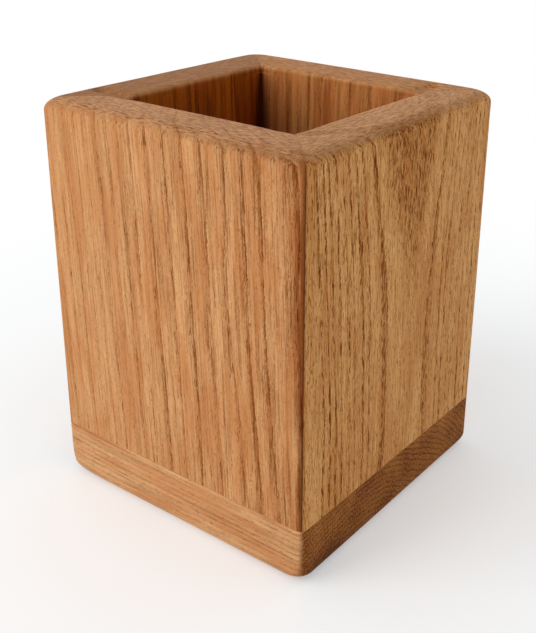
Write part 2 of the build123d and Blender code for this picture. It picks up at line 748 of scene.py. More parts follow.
    def year_share(self, tree: Tree, space: Node, radius: Node) -> tuple[Node, Node]:
        """Works out the year that a point grew in, and how far through that year.

        The distance from the middle of the log, moved by long and short waves in the grain, goes through a
        curve of straight runs that rises by one step at each ring's radius.

        Args:
            tree: the material's node tree.
            space: grain space in millimetres.
            radius: the distance from the middle of the log.

        Returns:
            The share of the year from 0 to 1, and the year's number.
        """
        sways = (
            (26.0, 80.0, 3.1, self.rings.slow_sway),
            (4.0, 36.0, 7.7, self.rings.quick_sway),
            (0.8, 6.0, 9.4, 0.25 * self.rings.quick_sway),
        )
        moved = radius
        for across, along, shift, amount in sways:
            wave = self.clouds(tree, space, across, along, shift, 1.0)
            moved = add_node(tree, "Math", {0: wave, 1: 4 * amount, 2: moved}, operation="MULTIPLY_ADD")
        middle = 2 * sum(sway[3] for sway in sways)
        edges = self.rings.all_edges()
        first, last = edges[0], edges[-1]
        steps = len(edges) - 1
        share = add_node(tree, "MapRange", {
            "Value": moved, "From Min": first + middle, "From Max": last + middle,
        })
        years = add_node(tree, "FloatCurve", {"Value": share})
        curve = years.mapping.curves[0]
        known = [(edge, number) for number, edge in enumerate(edges[1:-1], start=1)]
        for place, part in self.rings.slow_starts:
            known.append((place, sum(edge <= place for edge in edges) - 1 + part))
        for place, year in known:
            curve.points.new((place - first) / (last - first), year / steps)
        for point in curve.points:
            point.handle_type = "VECTOR"
        years.mapping.update()
        count = add_node(tree, "Math", {0: years, 1: float(steps)}, operation="MULTIPLY")
        through = add_node(tree, "Math", {0: count}, operation="FRACT")
        number = add_node(tree, "Math", {0: count}, operation="FLOOR")
        return through, number

    def pores(self, tree: Tree, space: Node, width: float, length: float, share: Node, shift: float) -> Node:
        """Draws one size of pore: long, thin cells whose middles are hollow.

        Args:
            tree: the material's node tree.
            space: grain space in millimetres.
            width: the spacing of the pores across the grain in millimetres.
            length: their spacing along it.
            share: how open the pores are at each point, from 0 to about 0.6.
            shift: moves the pattern.

        Returns:
            1 inside a pore and 0 between the pores.
        """
        place = self.stretched(tree, space, width, length, shift)
        cells = add_node(tree, "TexVoronoi", {"Vector": place, "Scale": 1.0})
        chance = add_node(tree, "SeparateColor", {0: cells.outputs["Color"]})
        spread = add_node(tree, "MapRange", {"Value": chance, "To Min": 0.5, "To Max": 1.15})
        size = add_node(tree, "Math", {0: share, 1: spread}, operation="MULTIPLY")
        core = add_node(tree, "Math", {0: size, 1: 0.7}, operation="MULTIPLY")
        return add_node(tree, "MapRange", {
            "Value": cells.outputs["Distance"], "From Min": size, "From Max": core,
        }, interpolation_type="SMOOTHSTEP")

    def hollows(
        self, tree: Tree, space: Node, through: Node, strength: Node, belt: Node, outwards: Node
    ) -> Node:
        """Draws all pores, and the dark line in which a year's first row of pores runs together.

        Args:
            tree: the material's node tree.
            space: grain space in millimetres.
            through: the share of the year from 0 to 1.
            strength: how strongly this year shows on this side of the board.
            belt: 1 in the pore belt of such a year and 0 in its late wood.
            outwards: 0 inside the narrow outer years of the log and 1 in them.

        Returns:
            1 in a pore and 0 in solid wood.
        """
        # Early wood vessels of oak are 0.2 to 0.4 mm wide and are cut open over a few millimetres.
        large_share = add_node(tree, "Math", {0: belt, 1: self.pore_open}, operation="MULTIPLY")
        large = self.pores(tree, space, self.pore_width, self.pore_length, large_share, 11.3)
        # The late wood's vessels are finer than the render shows, so these are drawn further apart.
        fine_base = add_node(tree, "MapRange", {
            "Value": outwards, "To Min": self.fine_open * self.inner_fine, "To Max": self.fine_open,
        })
        fine_share = add_node(tree, "Math", {0: belt, 1: 0.22, 2: fine_base}, operation="MULTIPLY_ADD")
        fine = self.pores(tree, space, self.fine_width, self.fine_length, fine_share, 29.9)
        fine = add_node(tree, "Math", {0: fine, 1: self.fine_depth}, operation="MULTIPLY")
        pores = add_node(tree, "Math", {0: large, 1: fine}, operation="MAXIMUM")
        first_row = add_node(tree, "MapRange", {
            "Value": through, "From Min": 0.02, "From Max": 0.13, "To Min": 1.0, "To Max": 0.0,
        }, interpolation_type="SMOOTHSTEP")
        broken = self.streak(tree, space, Streaks(3.0, 9.0, 0.46, 0.58, self.line), 51.0)
        line = add_node(tree, "Math", {0: first_row, 1: broken}, operation="MULTIPLY")
        line = add_node(tree, "Math", {0: line, 1: strength}, operation="MULTIPLY")
        return add_node(tree, "Math", {0: pores, 1: line}, operation="MAXIMUM")

    def long_grain(self, tree: Tree, space: Node, tone: Node, hollow: Node, end_cut: Source) -> Node:
        """Colours the wood where it is cut along the grain.

        Args:
            tree: the material's node tree.
            space: grain space in millimetres.
            tone: 0 in smooth late wood and 1 in the darkest streaks.
            hollow: 1 in a pore.
            end_cut: how far the surface is turned towards the end of the grain.

        Returns:
            The colour.
        """
        # Over a rounding the fibres are cut at a slant, so their lines and pores shorten and fade.
        slant = add_node(tree, "MapRange", {
            "Value": end_cut, "From Min": 0.4, "From Max": 0.8, "To Min": 1.0, "To Max": 0.35,
        }, interpolation_type="SMOOTHSTEP")
        tone = add_node(tree, "Math", {0: tone, 1: slant}, operation="MULTIPLY")
        hollow = add_node(tree, "Math", {0: hollow, 1: slant}, operation="MULTIPLY")
        drift = self.streak(tree, space, Streaks(4.0, 24.0, 0.42, 0.62, 0.45), 41.0, 3.0)
        gathered = add_node(tree, "Math", {0: tone, 1: hollow}, operation="ADD", use_clamp=True)
        return layered(tree, srgb(self.late), (
            (tone, self.early, "MIX"), (drift, self.warm, "MIX"),
            (hollow, self.pore, "MIX"), (gathered, self.deep, "MULTIPLY"),
        ))

    def end_grain(
        self, tree: Tree, space: Node, tone: Node, belt: Node, hollow: Node, along: Source
    ) -> Node:
        """Colours the wood where it is cut across the grain.

        Args:
            tree: the material's node tree.
            space: grain space in millimetres.
            tone: 0 in smooth late wood and 1 in the darkest streaks.
            belt: 1 in a year's pore belt.
            hollow: 1 in a pore.
            along: the place along the grain in millimetres.

        Returns:
            The colour.
        """
        # Cut across, the fibres are dots of about 0.4 mm, which sanding draws out along the board.
        spots = add_node(tree, "VectorMath", {
            0: space, 1: tuple(1 / size for size in self.end_spots), 2: (self.seed, 71.0, self.seed),
        }, operation="MULTIPLY_ADD")
        dots = add_node(tree, "TexNoise", {"Vector": spots, "Scale": 1.0})
        end_tone = add_node(tree, "MapRange", {
            "Value": dots, "From Min": 0.35, "From Max": 0.68, "To Max": self.end_speckle,
        }, interpolation_type="SMOOTHSTEP")
        # Oil went deeper into the end grain in some places, in patches of about 10 mm.
        patches = self.clouds(tree, space, 10.0, 10.0, 91.0)
        for part, amount in (
            (tone, 0.3), (belt, self.end_years), (patches, self.end_patches), (hollow, self.end_pores),
        ):
            end_tone = add_node(tree, "Math", {0: part, 1: amount, 2: end_tone}, operation="MULTIPLY_ADD")
        oiled = add_node(tree, "MapRange", {
            "Value": along, "From Min": -HALF, "From Max": HALF, "To Max": self.end_oiled,
        })
        return layered(tree, srgb(self.end_light), (
            (oiled, self.end_dark, "MIX"), (end_tone, self.end_dark, "MIX"),
        ))

    def make(self) -> bpy.types.Material:
        """Builds the material.

        It works out the year at each point, then the pores and streaks, then the colours of both cuts, and
        last the marks of oil, glue and dust and the painted shade, which come from the piece's own numbers
        at its points.

        Returns:
            The material.
        """
        material = new_material(self.name)
        tree = material.node_tree
        space, upright = self.grain_space(tree)
        here = {
            name: add_node(tree, "Attribute", attribute_name=name).outputs["Fac"]
            for name in ("end_cut", "inside", "shade_and_grime", "soaked", "seam_and_shade")
        }
        flat = add_node(tree, "VectorMath", {0: space, 1: (1.0, 1.0, 0.0)}, operation="MULTIPLY")
        radius = add_node(tree, "VectorMath", {0: flat}, operation="LENGTH")
        through, number = self.year_share(tree, space, radius)

        draw = add_node(tree, "TexWhiteNoise", {"W": number}, noise_dimensions="1D")
        year_strength = add_node(tree, "MapRange", {"Value": draw, "To Min": 0.6, "To Max": 1.0})
        own = add_node(tree, "SeparateXYZ", {0: upright})
        side_strength = add_node(tree, "MapRange", {
            "Value": own.outputs[0],
            "From Min": -HALF - self.rings.pith[0], "From Max": HALF - self.rings.pith[0],
            "To Min": self.pore_sides[0], "To Max": self.pore_sides[1],
        })
        strength = add_node(tree, "Math", {0: year_strength, 1: side_strength}, operation="MULTIPLY")
        belt = add_node(tree, "MapRange", {
            "Value": through, "From Min": self.belt * self.belt_full, "From Max": self.belt,
            "To Min": 1.0, "To Max": 0.0,
        }, interpolation_type="SMOOTHSTEP")
        belt = add_node(tree, "Math", {0: belt, 1: strength}, operation="MULTIPLY")
        outwards = add_node(tree, "MapRange", {
            "Value": radius, "From Min": self.outer[0], "From Max": self.outer[1],
        })
        hollow = self.hollows(tree, space, through, strength, belt, outwards)

        bold = add_node(tree, "MapRange", {
            "Value": outwards, "To Min": self.belt_tone, "To Max": self.outer_belt * self.belt_tone,
        })
        tone = add_node(tree, "Math", {0: belt, 1: bold}, operation="MULTIPLY")
        for place, bundle in enumerate(self.streaks):
            dark = self.streak(tree, space, bundle, 5.5 + 6.1 * place)
            tone = add_node(tree, "Math", {0: tone, 1: dark}, operation="ADD")
        shown = add_node(tree, "MapRange", {"Value": here["inside"], "To Min": self.outside_tone})
        shown = add_node(tree, "Math", {0: shown, 1: side_strength}, operation="MULTIPLY")
        tone = add_node(tree, "Math", {0: tone, 1: shown}, operation="MULTIPLY")

        # The end cut starts where the rounding has turned about halfway, with a border that wavers.
        waver = self.clouds(tree, space, 3.0, 3.0, 83.0, 3.0)
        turned_up = add_node(tree, "Math", {0: waver, 1: 0.2, 2: here["end_cut"]}, operation="MULTIPLY_ADD")
        end_here = add_node(tree, "MapRange", {
            "Value": turned_up, "From Min": 0.55, "From Max": 0.98,
        }, interpolation_type="SMOOTHSTEP")
        colour = add_node(tree, "Mix", {
            0: end_here,
            6: self.long_grain(tree, space, tone, hollow, here["end_cut"]),
            7: self.end_grain(tree, space, tone, belt, hollow, own.outputs[2]),
        }, data_type="RGBA")
        # Inside the well the colour is multiplied down for deeper oil and as painted shade, and in the
        # well's corners as painted shade with grime.
        colour = layered(tree, colour, (
            (here["inside"], self.inside, "MULTIPLY"), (here["shade_and_grime"], self.shade_and_grime, "MULTIPLY"),
            # Low on the base board's sides the seam colour is also mixed in as painted shade.
            (here["soaked"], self.soaked, "MULTIPLY"), (here["seam_and_shade"], self.seam_and_shade, "MIX"),
        ))

        sunk = add_node(tree, "Math", {0: tone, 1: 0.5, 2: hollow}, operation="MULTIPLY_ADD")
        relief = add_node(tree, "Math", {0: 1.0, 1: sunk}, operation="SUBTRACT")
        bump = add_node(tree, "Bump", {"Strength": 0.6, "Distance": self.pore_depth * MM, "Height": relief})
        smooth, open_wood = self.roughness
        rough = add_node(tree, "MapRange", {"Value": hollow, "To Min": smooth, "To Max": open_wood})
        surface = add_node(tree, "BsdfPrincipled", {
            "Base Color": colour, "Roughness": rough, "IOR": 1.45,
            "Specular IOR Level": 0.08, "Normal": bump,
        })
        add_node(tree, "OutputMaterial", {"Surface": surface})
        return material


@dataclass(frozen=True)
class DriedGlue:
    """White wood glue that set in a joint and took up sanding dust and oil.

    It gives the eye a thin, dark, slightly shiny line.

    Attributes:
        name: the material's name.
        colour: the brown of the line.
        dusty: its paler colour where it took up more dust.
        filled: the colour of sanding dust that closed the joint.
        spot: the size of its mottles in millimetres.
    """

    name: str = "dried_wood_glue_sanded"
    colour: str = "4a1c04"
    dusty: str = "64380f"
    filled: str = "b98354"
    spot: float = 1.5

    def make(self) -> bpy.types.Material:
        """Builds the material: the brown of dust in glue, mottled over spots of even size.

        Returns:
            The material.
        """
        material = new_material(self.name)
        tree = material.node_tree
        place = add_node(tree, "TexCoord")
        scaled = add_node(tree, "Mapping", {
            "Vector": place.outputs["Object"], "Scale": (1 / (self.spot * MM),) * 3,
        })
        spots = add_node(tree, "TexNoise", {"Vector": scaled, "Scale": 1.0})
        dust = add_node(tree, "Attribute", attribute_name="dust").outputs["Fac"]
        colour = layered(tree, srgb(self.colour), (
            (spots, self.dusty, "MIX"), (dust, self.filled, "MIX"),
        ))
        surface = add_node(tree, "BsdfPrincipled", {
            "Base Color": colour, "Roughness": 0.6, "IOR": 1.47, "Specular IOR Level": 0.1,
        })
        add_node(tree, "OutputMaterial", {"Surface": surface})
        return material


@dataclass(frozen=True)
class WallBoard:
    """One upright board, mitred at both ends, worked out as a profile carried along the side.

    Attributes:
        side: the side of the holder that it closes.
        shape: the holder's sizes.
        node: the CAD node that it replaces.
        finish: its oak.
        face_rows: steps up each face.
        edge_rows: steps round each rounded edge.
        rim_rows: steps across the flat of the rim.
        soaked_start: how far soaked oil and glue darken the wood at the board's -X end, seen from outside.
        soaked_end: the same at its +X end.
        soaked_rim: how far oil darkens the rim's outer rounding at the -X end and at the +X end.
        seam_width: how far from a mitre, in millimetres, the glue darkens the wood.
        seam_tone: how far it darkens it there.
        band_width: how far from a mitre the soaked band goes.
        skirt_width: how far its soft skirt goes.
        skirt_tone: how dark the skirt is, where the band has 1.
        shade_and_grime_width: how far from the well's corners the painted shade and grime go at the rim.
        shade_and_grime_slope: how far down, in millimetres, they go 1 mm further.
        deep_shade_width: how far from the corners the weaker painted shade deeper in the well goes.
        deep_shade_tone: how strong that one is.
    """

    side: Side
    shape: SandedShape
    node: str
    finish: OiledOak
    face_rows: int = 96
    edge_rows: int = 12
    rim_rows: int = 10
    soaked_start: float = 0.15
    soaked_end: float = 0.15
    soaked_rim: tuple[float, float] = (0.15, 0.15)
    seam_width: float = 0.3
    seam_tone: float = 0.6
    band_width: float = 1.3
    skirt_width: float = 4.0
    skirt_tone: float = 0.3
    shade_and_grime_width: float = 0.4
    shade_and_grime_slope: float = 6.0
    deep_shade_width: float = 8.0
    deep_shade_tone: float = 0.3

    def profile(self) -> dict[str, np.ndarray]:
        """The closed outline of the board's section, once round from the middle of its lower end.

        It goes out to the outer face, up it, round the rim's outer edge, over the flat rim, round the mouth
        and down the inner face. Rows lie closer together just above the lower end. The corner radius grows
        from the outer face over the rim's rounding, and falls to nothing at the inner face.

        Returns:
            Under each name an array with one number per row: depth and height in millimetres, the way out of
            the surface as out_depth and out_height, the corner radius, edge and mouth from 0 to 1.
        """
        s = self.shape
        low = s.wall_bottom
        turn = np.linspace(0, math.pi / 2, self.edge_rows + 1)
        climb = np.linspace(0, 1, self.face_rows + 1)
        climb = climb * (0.35 + 0.65 * climb ** 0.7)
        outer_rise = low + (s.height - s.rim_radius - low) * climb
        inner_rise = low + (s.height - s.mouth_radius - low) * climb
        flat = np.linspace(s.rim_radius, s.wall - s.mouth_radius, self.rim_rows + 1)[1:-1]
        under = np.linspace(0, s.wall, 9)[1:-1]
        middle = len(under) // 2
        pieces = [
            (under[middle::-1], low, 0, -1, 0, 0),
            (0 * outer_rise, outer_rise, -1, 0, 0, 0),
            (s.rim_radius * (1 - np.cos(turn[1:])), s.height - s.rim_radius * (1 - np.sin(turn[1:])),
             -np.cos(turn[1:]), np.sin(turn[1:]), smooth_step(turn[1:], 0, 1.2), 0),
            (flat, s.height, 0, 1, 1, 1),
            (s.wall - s.mouth_radius * (1 - np.sin(turn[:-1])),
             s.height - s.mouth_radius * (1 - np.cos(turn[:-1])),
             np.sin(turn[:-1]), np.cos(turn[:-1]), smooth_step(turn[:-1], math.pi / 2, 0.4), 1),
            (0 * inner_rise + s.wall, inner_rise[::-1], 1, 0, 0, 0),
            (under[:middle:-1], low, 0, -1, 0, 0),
        ]
        made = stack_rows(("depth", "height", "out_depth", "out_height", "edge", "mouth"), pieces)
        inset = np.minimum(made["depth"], s.rim_radius)
        on_rim = made["height"] > s.height - s.rim_radius - 0.01
        outer_radius = s.corner_radius + np.where(on_rim, s.rim_growth * inset, 0.0)
        fade = np.clip((made["depth"] - s.rim_radius) / (s.wall - s.mouth_radius - s.rim_radius), 0, 1)
        made["radius"] = outer_radius * (1 - fade)
        return made

    def surface(
        self, columns: tuple[np.ndarray, np.ndarray], recess: float = 0.0
    ) -> tuple[np.ndarray, dict[str, np.ndarray]]:
        """The sanded points of the section over some columns, and the profile as columns of numbers."""
        rows = {name: values[:, None] for name, values in self.profile().items()}
        return self.shape.carried(rows, columns, self.side.value, self.shape.mitre_gap, recess), rows

    def build(self) -> bpy.types.Object:
        """Builds the board, closes its mitres and puts it in the CAD node's place.

        Returns:
            The board's object.
        """
        points, rows = self.surface(side_columns())
        grid = points.shape[:2]
        # Inside the well the wood is darkened for deeper oil and as painted shade.
        inside = smooth_step(rows["depth"], self.shape.wall - 0.8, self.shape.wall - 0.05)
        attributes = {
            "end_cut": np.broadcast_to(np.abs(rows["out_height"]), grid),
            "inside": np.broadcast_to(inside, grid),
            "seam_and_shade": self.seam_and_shade_darkness(points, rows),
            "soaked": self.soaked_wood(points, rows),
            "shade_and_grime": self.corner_shade_and_grime(points),
        }
        return make_piece(
            self.node.replace("wall", "board"), points, carried_faces(*grid), attributes,
            self.finish.make(), (self.node,),
        )

    def own_plan(self, points: np.ndarray) -> tuple[np.ndarray, np.ndarray]:
        """The x and y of points as they lie when the holder is turned until this board is at the front."""
        return turn_quarters(points[..., 0], points[..., 1], -self.side.value)

    def seam_and_shade_darkness(self, points: np.ndarray, rows: dict[str, np.ndarray]) -> np.ndarray:
        """How far glue and oil have darkened the wood, near the mitres and on the rim's outer rounding.

        Args:
            points: places in millimetres, rows by columns by 3.
            rows: the profile, one number per row.

        Returns:
            A number from 0 to 1 at each place.
        """
        x, y = self.own_plan(points)
        away = np.abs(np.abs(x) + y) / math.sqrt(2)
        dark = (self.seam_tone - 0.57 * rows["edge"]) * np.exp(-((away / self.seam_width) ** 2))
        turned = np.exp(-(((rows["out_height"] - 0.6) / 0.3) ** 2)) * (rows["out_depth"] < 0)
        start, end = self.soaked_rim
        along = start + (end - start) * smooth_step(x + 2 * np.sin(x / 2.3), -10.0, 30.0)
        return np.maximum(dark, along * turned)

    def soaked_wood(self, points: np.ndarray, rows: dict[str, np.ndarray]) -> np.ndarray:
        """How far oil has soaked the wood beside the two mitres, in uneven bands with soft skirts.

        Args:
            points: places in millimetres, rows by columns by 3.
            rows: the profile, one number per row.

        Returns:
            A number from 0 to 1 at each place.
        """
        x, y = self.own_plan(points)
        soaked = np.zeros_like(x)
        for sign, amount in ((1, self.soaked_start), (-1, self.soaked_end)):
            away = (sign * x - y) / math.sqrt(2)
            uneven = 1 + 0.25 * np.sin(points[..., 2] / 3.1 + sign) + 0.2 * np.sin(points[..., 2] / 8.3)
            band = np.exp(-((away / (self.band_width * uneven)) ** 4))
            skirt = self.skirt_tone * np.exp(-((away / (self.skirt_width * uneven)) ** 2))
            soaked = np.maximum(soaked, amount * np.maximum(band, skirt) * (1 - 0.9 * rows["edge"]))
        return soaked

    def corner_shade_and_grime(self, points: np.ndarray) -> np.ndarray:
        """Painted shade with dust and oil in the well's upright corners, in a wedge that widens downwards.

        The amount falls off with the distance from the corner as a bell curve, whose width grows with the
        depth under the rim. A weaker and wider painted shade lies under it, growing deeper in the well.

        Args:
            points: places in millimetres, rows by columns by 3.

        Returns:
            A number from 0 to 1 at each place.
        """
        x, y = self.own_plan(points)
        inner = self.shape.width / 2 - self.shape.wall
        below = np.clip(self.shape.height - points[..., 2], 0, 40)
        away = inner - np.abs(x)
        # Painted shade and grime: a wedge from the corner that widens downwards.
        wedge = np.exp(-((away / (self.shade_and_grime_width + below / self.shade_and_grime_slope)) ** 2))
        # Painted shade: weaker and wider, growing with the depth in the well.
        deep_shade = self.deep_shade_tone * np.exp(-((away / self.deep_shade_width) ** 2)) * smooth_step(below, 2.0, 20.0)
        return smooth_step(-y, inner + 0.3, inner) * np.maximum(wedge, deep_shade)


@dataclass(frozen=True)
class MitreGlue:
    """The film of glue in one mitre, stretched between the cut ends of two boards.

    Attributes:
        first: the board whose +X end, seen from its outside, meets the mitre.
        second: the board whose -X end meets it.
        node: the CAD node that the film replaces.
        finish: the dried glue.
        recess: how far the film lies under the sanded wood in millimetres.
    """

    first: WallBoard
    second: WallBoard
    node: str
    finish: DriedGlue
    recess: float = 0.04

    def build(self) -> bpy.types.Object:
        """Joins the section at the end of one board to the section at the start of the next.

        Returns:
            The film's object.
        """
        end = np.array([1.0])
        start_loop, rows = self.first.surface((end, end), self.recess)
        end_loop = self.second.surface((-end, -end), self.recess)[0]
        points = np.concatenate([start_loop, end_loop], axis=1)
        dust = np.broadcast_to(smooth_step(rows["out_height"], 0.2, 0.6), points.shape[:2])
        return make_piece(
            self.node.replace("glue", "film"), points, carried_faces(*points.shape[:2]), {"dust": dust},
            self.finish.make(), (self.node,),
        )


@dataclass(frozen=True)
class RoundPlan:
    """Rows carried all the way round the holder, as rounded squares.

    Attributes:
        shape: the holder's sizes.
    """

    shape: SandedShape

    def columns(self) -> tuple[np.ndarray, np.ndarray]:
        """The flat and arc numbers of one side's columns, without the last, which the next side has."""
        flat, arc = side_columns()
        return flat[:-1], arc[:-1]

    def surface(self, rows: dict[str, np.ndarray]) -> np.ndarray:
        """Carries profile rows round all four sides.

        Args:
            rows: an array with one number per row under each name that the shape's carried() takes.

        Returns:
            The sanded points in millimetres as an array of rows by columns by 3.
        """
        rows = {name: values[:, None] for name, values in rows.items()}
        sides = [self.shape.carried(rows, self.columns(), turns, 0.0) for turns in range(4)]
        return np.concatenate(sides, axis=1)

    def facing_x(self) -> np.ndarray:
        """How squarely each column's outside faces along X, from 0 to 1."""
        angle = self.columns()[1] * (math.pi / 4)
        return np.abs(np.concatenate([np.sin(angle), np.cos(angle), np.sin(angle), np.cos(angle)]))


@dataclass(frozen=True)
class BaseBoard:
    """The board under the walls, worked out as rounded squares stacked from its top to its underside.

    Attributes:
        plan: carries the rows round the holder.
        node: the CAD node that it replaces.
        finish: its oak.
        low_shade_tone: how dark the painted shade on the lower part of its sides is.
        end_tone: how much darker that part is at the two ends.
        front_tone: how much darker still it is there towards the front.
        blot_tone: how much darker still it is in the blot.
        blot_place: Y and Z of the blot's middle.
        blot_size: how far it reaches along Y and Z.
    """

    plan: RoundPlan
    node: str
    finish: OiledOak
    low_shade_tone: float = 0.06
    end_tone: float = 0.08
    front_tone: float = 0.22
    blot_tone: float = 0.75
    blot_place: tuple[float, float] = (-29.0, 4.0)
    blot_size: tuple[float, float] = (8.0, 4.5)

    def profile(self) -> dict[str, np.ndarray]:
        """Goes from the middle of the top out to the side, down, and in to the middle of the underside.

        Returns:
            Under each name an array with one number per row: depth, height and corner radius in millimetres,
            the way out of the surface as out_depth, and end_cut and edge from 0 to 1.
        """
        s = self.plan.shape
        middle = s.width / 2 - 0.5
        turn = np.linspace(0, math.pi / 2, 15)[1:]
        top = np.concatenate([np.linspace(middle, s.wall, 28)[:-1], np.linspace(s.wall, 0, 10)])
        top_radius = s.corner_radius * np.clip(1 - top / s.wall, 0, 1)
        side = s.base_top - (s.base_top - s.foot_radius) * np.linspace(0, 1, 19)[1:] ** 1.5
        under = np.linspace(s.foot_radius, middle, 30)[1:]
        inset = s.foot_radius * (1 - np.cos(turn))
        drop = s.foot_radius * (1 - np.sin(turn))
        ball = s.corner_radius + s.foot_growth * s.foot_radius
        names = ("depth", "height", "out_depth", "end_cut", "edge", "radius")
        return stack_rows(names, [
            (top, s.base_top, -smooth_step(top, 3, 0), top < 0.01, 0, top_radius),
            (0 * side, side, -1, 1, 0, s.corner_radius),
            (inset, drop, -np.cos(turn), np.cos(turn), smooth_step(turn, 0, 1.2),
             s.corner_radius + s.foot_growth * inset),
            (under, 0, 0, 0, 0, ball * (middle + 0.5 - under) / (middle + 0.5 - s.foot_radius)),
        ])

    def seam_and_shade_darkness(self, points: np.ndarray, rows: dict[str, np.ndarray]) -> np.ndarray:
        """How much darker the lower part of the board's sides is, as painted shade towards the bottom.

        The two ends have more of it towards the front, and the most in one blot that falls off as a bell
        curve. Two crossed waves make the blot ragged.

        Args:
            points: places in millimetres, rows by columns by 3.
            rows: the profile, one number per row.

        Returns:
            A number from 0 to 1 at each place.
        """
        y, z = points[..., 1], points[..., 2]
        # Painted shade: the sides darken over their lowest 9 mm, towards the underside.
        low = smooth_step(rows["height"], 9.0, 1.0) * (rows["depth"] < self.plan.shape.foot_radius)
        towards_front = smooth_step(-y, -15.0, 25.0)
        fleck = np.sin(2.1 * y + 1.3 * z) * np.sin(0.9 * y - 2.6 * z + 1.0 + 0.8 * np.sin(0.7 * y))
        across = (y - self.blot_place[0]) / self.blot_size[0]
        up = (z - self.blot_place[1]) / self.blot_size[1]
        blot = np.exp(-(across ** 2) - up ** 2) * (0.8 + 0.7 * fleck)
        tone = self.end_tone + self.front_tone * towards_front + self.blot_tone * blot
        return low[:, None] * (self.low_shade_tone + tone * self.plan.facing_x() ** 2)

    def build(self) -> bpy.types.Object:
        """Builds the board, closes the middle of its top and underside, and puts it in the node's place.

        Returns:
            The board's object.
        """
        rows = self.profile()
        points = self.plan.surface(rows)
        count, columns = points.shape[:2]
        middles = [[0, 0, self.plan.shape.base_top], [0, 0, 0]]
        body = np.concatenate([points.reshape(-1, 3), middles])
        ring = np.arange(columns)
        past = np.roll(ring, -1)
        top_fan = np.stack([0 * ring + count * columns, ring, past], axis=-1)
        last = (count - 1) * columns
        under_fan = np.stack([0 * ring + count * columns + 1, last + past, last + ring], axis=-1)
        faces = grid_faces(count, columns, False, True)[:, ::-1].tolist()
        faces += top_fan.tolist() + under_fan.tolist()
        end_cut = rows["end_cut"][:, None] * self.plan.facing_x()
        # The well's floor is darkened the same way, for deeper oil and as painted shade.
        in_well = smooth_step(rows["depth"], 13.0, 15.0) * (rows["height"] > 1)
        inside = np.broadcast_to(in_well[:, None], (count, columns))
        attributes = {
            "end_cut": np.append(end_cut, [0, 0]),
            "inside": np.append(inside, [1, 0]),
            "seam_and_shade": np.append(self.seam_and_shade_darkness(points, rows), [0, 0]),
            "shade_and_grime": np.zeros(len(body)),
        }
        return make_piece(
            "board_base", body, faces, attributes, self.finish.make(), (self.node,),
        )


@dataclass(frozen=True)
class BaseGlue:
    """The film of glue between the walls and the base board, a thin square ring.

    Attributes:
        plan: carries the rows round the holder.
        node: the CAD node that it replaces.
        finish: the dried glue.
        recess: how far the film lies under the sanded wood in millimetres.
    """

    plan: RoundPlan
    node: str
    finish: DriedGlue
    recess: float = 0.01

    def build(self) -> bpy.types.Object:
        """Joins four rounded squares: outside below and above, inside above and below.

        Returns:
            The film's object.
        """
        s = self.plan.shape
        outer = self.recess
        inner = s.wall - self.recess
        names = ("depth", "height", "out_depth", "edge", "radius")
        rows = stack_rows(names, [
            (np.array([outer, outer]), np.array([s.base_top, s.wall_bottom]), -1, 0, s.corner_radius),
            (np.array([inner, inner]), np.array([s.wall_bottom, s.base_top]), 0, 0, 0.0),
        ])
        points = self.plan.surface(rows)
        faces = grid_faces(4, points.shape[1], True, True)
        dust = np.full(points.shape[:2], 0.95)
        return make_piece(
            self.node.replace("glue", "film"), points, faces.tolist(), {"dust": dust},
            self.finish.make(), (self.node,),
        )


